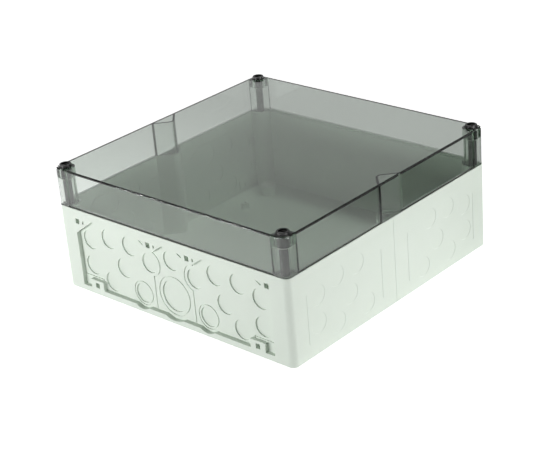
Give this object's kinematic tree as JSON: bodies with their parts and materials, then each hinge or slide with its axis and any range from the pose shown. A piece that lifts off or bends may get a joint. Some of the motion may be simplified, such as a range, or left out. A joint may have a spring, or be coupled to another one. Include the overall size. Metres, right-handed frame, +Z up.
{
  "type": "polystyrene enclosure",
  "caption": "Square polystyrene wall enclosure with a near-white base, knock-out cable entries and a deep smoked lid held by quarter-turn corner screws.",
  "frame": {"origin": "centre of the underside of the base", "axes": "+Z up through the lid, -Y towards the front wall with the deep entry panel"},
  "size_m": [0.3, 0.3, 0.132],
  "materials": {
    "base_polystyrene": "matt moulded",
    "smoked_lid": "clear gloss, smoked",
    "gasket_foam": "soft matt",
    "black_nylon": "satin moulded",
    "ring_nylon": "natural, satin moulded",
    "plug_polyethylene": "waxy matt"
  },
  "bodies": {
    "base": {"base": "base_polystyrene", "fixing_plug_front_left": "plug_polyethylene", "fixing_plug_front_right": "plug_polyethylene", "fixing_plug_back_right": "plug_polyethylene", "fixing_plug_back_left": "plug_polyethylene"},
    "lid": {"lid": "smoked_lid", "lid_gasket": "gasket_foam"},
    "screw_front_left": {"lid_screw_front_left": "black_nylon", "retaining_ring_front_left": "ring_nylon"},
    "screw_front_right": {"lid_screw_front_right": "black_nylon", "retaining_ring_front_right": "ring_nylon"},
    "screw_back_right": {"lid_screw_back_right": "black_nylon", "retaining_ring_back_right": "ring_nylon"},
    "screw_back_left": {"lid_screw_back_left": "black_nylon", "retaining_ring_back_left": "ring_nylon"}
  },
  "joints": [
    {"name": "lid_lift", "type": "slide", "parent": "base", "child": "lid", "axis": [0, 0, 1], "range_m": [0, 0.06]},
    {"name": "screw_turn_front_left", "type": "hinge", "parent": "lid", "child": "screw_front_left", "pos_m": [-0.1411, -0.1411, 0.1295], "axis": [0, 0, 1], "range_deg": [0, 90]},
    {"name": "screw_turn_front_right", "type": "hinge", "parent": "lid", "child": "screw_front_right", "pos_m": [0.1411, -0.1411, 0.1295], "axis": [0, 0, 1], "range_deg": [0, 90]},
    {"name": "screw_turn_back_right", "type": "hinge", "parent": "lid", "child": "screw_back_right", "pos_m": [0.1411, 0.1411, 0.1295], "axis": [0, 0, 1], "range_deg": [0, 90]},
    {"name": "screw_turn_back_left", "type": "hinge", "parent": "lid", "child": "screw_back_left", "pos_m": [-0.1411, 0.1411, 0.1295], "axis": [0, 0, 1], "range_deg": [0, 90]}
  ]
}
